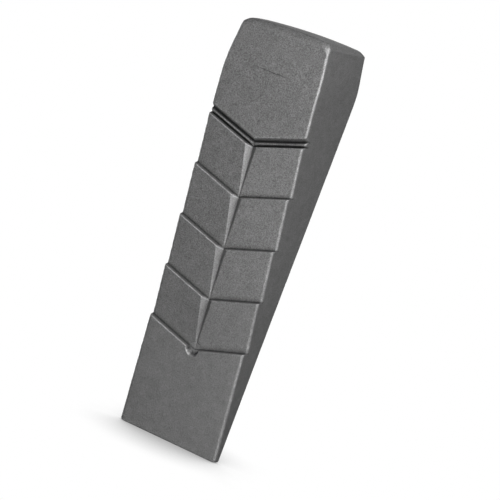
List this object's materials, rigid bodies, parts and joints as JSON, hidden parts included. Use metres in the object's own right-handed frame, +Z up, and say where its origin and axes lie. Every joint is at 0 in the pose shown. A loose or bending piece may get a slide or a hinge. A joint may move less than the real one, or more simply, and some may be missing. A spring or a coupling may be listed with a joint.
{
  "type": "felling wedge",
  "caption": "Cast aluminium felling wedge: flat back, chevron rows of saw-tooth barbs on the front, a V groove down the middle and a plain chamfered striking head.",
  "frame": {"origin": "centre of the bounding box's bottom, so z = 0 is the thin tip edge", "axes": "+Z runs up the wedge from the tip edge to the striking head, -Y out of the barbed front, +Y out of the flat back, +X to the side"},
  "size_m": [0.0644, 0.039, 0.23],
  "materials": {
    "cast_aluminium": "as cast, fine sand-like grain, matt"
  },
  "bodies": {
    "root": {"wedge_body": "cast_aluminium"}
  },
  "joints": []
}
